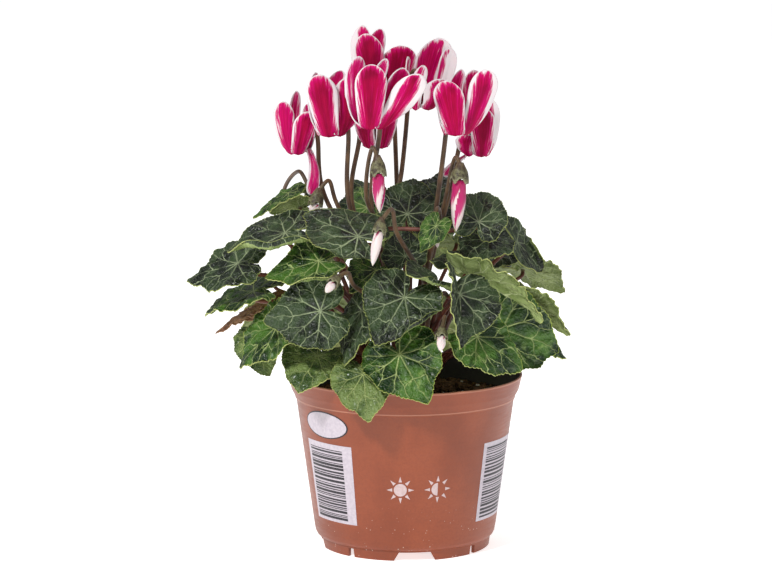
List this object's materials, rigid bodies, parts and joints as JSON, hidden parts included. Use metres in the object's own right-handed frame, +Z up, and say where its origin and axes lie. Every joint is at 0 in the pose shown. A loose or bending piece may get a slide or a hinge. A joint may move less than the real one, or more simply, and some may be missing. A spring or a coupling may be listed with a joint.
{
  "type": "potted cyclamen",
  "caption": "Miniature flowering plant with heart-shaped leaves and turned-back two-tone petals on upright stalks, growing in a round tapered plastic nursery pot filled with compost.",
  "frame": {"origin": "on the standing surface, at the middle of the pot's underside", "axes": "+Z up along the pot's axis, -Y towards the front that the picture shows, +X to the right seen from the front"},
  "size_m": [0.172, 0.142, 0.2313],
  "materials": {
    "pot_plastic": "satin terracotta-coloured thin plastic, dark inside",
    "peat": "dark brown crumbly peat compost with a little perlite",
    "stalks": "smooth reddish-brown stalks and petioles, greenish-brown calyces",
    "leaf_dark": "dark grey-green upper side with pale netted veins, pale olive underside",
    "leaf_bright": "bright green upper side with pale veins and margin",
    "leaf_olive": "olive green blade",
    "leaf_dry": "dry brown-red blade",
    "petals": "satin magenta with soft streaked white margins",
    "bud_petals": "rolled magenta and white petals"
  },
  "bodies": {
    "root": {"pot": "pot_plastic", "soil": "peat", "crown": "stalks", "leaf_01": "leaf_dark", "leaf_02": "leaf_bright", "leaf_03": "leaf_olive", "leaf_04": "leaf_olive", "leaf_05": "leaf_dark", "leaf_06": "leaf_dark", "leaf_07": "leaf_bright", "leaf_08": "leaf_olive", "leaf_09": "leaf_bright", "leaf_10": "leaf_dark", "leaf_11": "leaf_dark", "leaf_12": "leaf_dark", "leaf_13": "leaf_bright", "leaf_14": "leaf_olive", "leaf_15": "leaf_bright", "leaf_16": "leaf_olive", "leaf_17": "leaf_dry", "leaf_18": "leaf_bright", "leaf_19": "leaf_dark", "leaf_20": "leaf_dark", "leaf_21": "leaf_bright", "leaf_22": "leaf_bright", "leaf_23": "leaf_dark", "leaf_24": "leaf_dark", "leaf_25": "leaf_dark", "leaf_26": "leaf_dark", "leaf_27": "leaf_dark", "leaf_28": "leaf_dark", "leaf_29": "leaf_bright", "leaf_30": "leaf_dark", "leaf_31": "leaf_dark", "leaf_32": "leaf_bright", "leaf_33": "leaf_dark", "leaf_34": "leaf_bright", "leaf_35": "leaf_dark", "leaf_36": "leaf_bright", "leaf_37": "leaf_dark", "leaf_38": "leaf_bright", "leaf_39": "leaf_dark", "leaf_40": "leaf_dark", "leaf_41": "leaf_bright", "corolla_01": "petals", "corolla_02": "petals", "corolla_03": "petals", "corolla_04": "petals", "corolla_05": "petals", "corolla_06": "petals", "corolla_07": "petals", "corolla_08": "petals", "bud_01": "bud_petals", "bud_02": "bud_petals", "bud_03": "bud_petals", "bud_04": "bud_petals", "bud_05": "bud_petals", "bud_06": "bud_petals", "bud_07": "bud_petals", "bud_08": "bud_petals"}
  },
  "joints": []
}
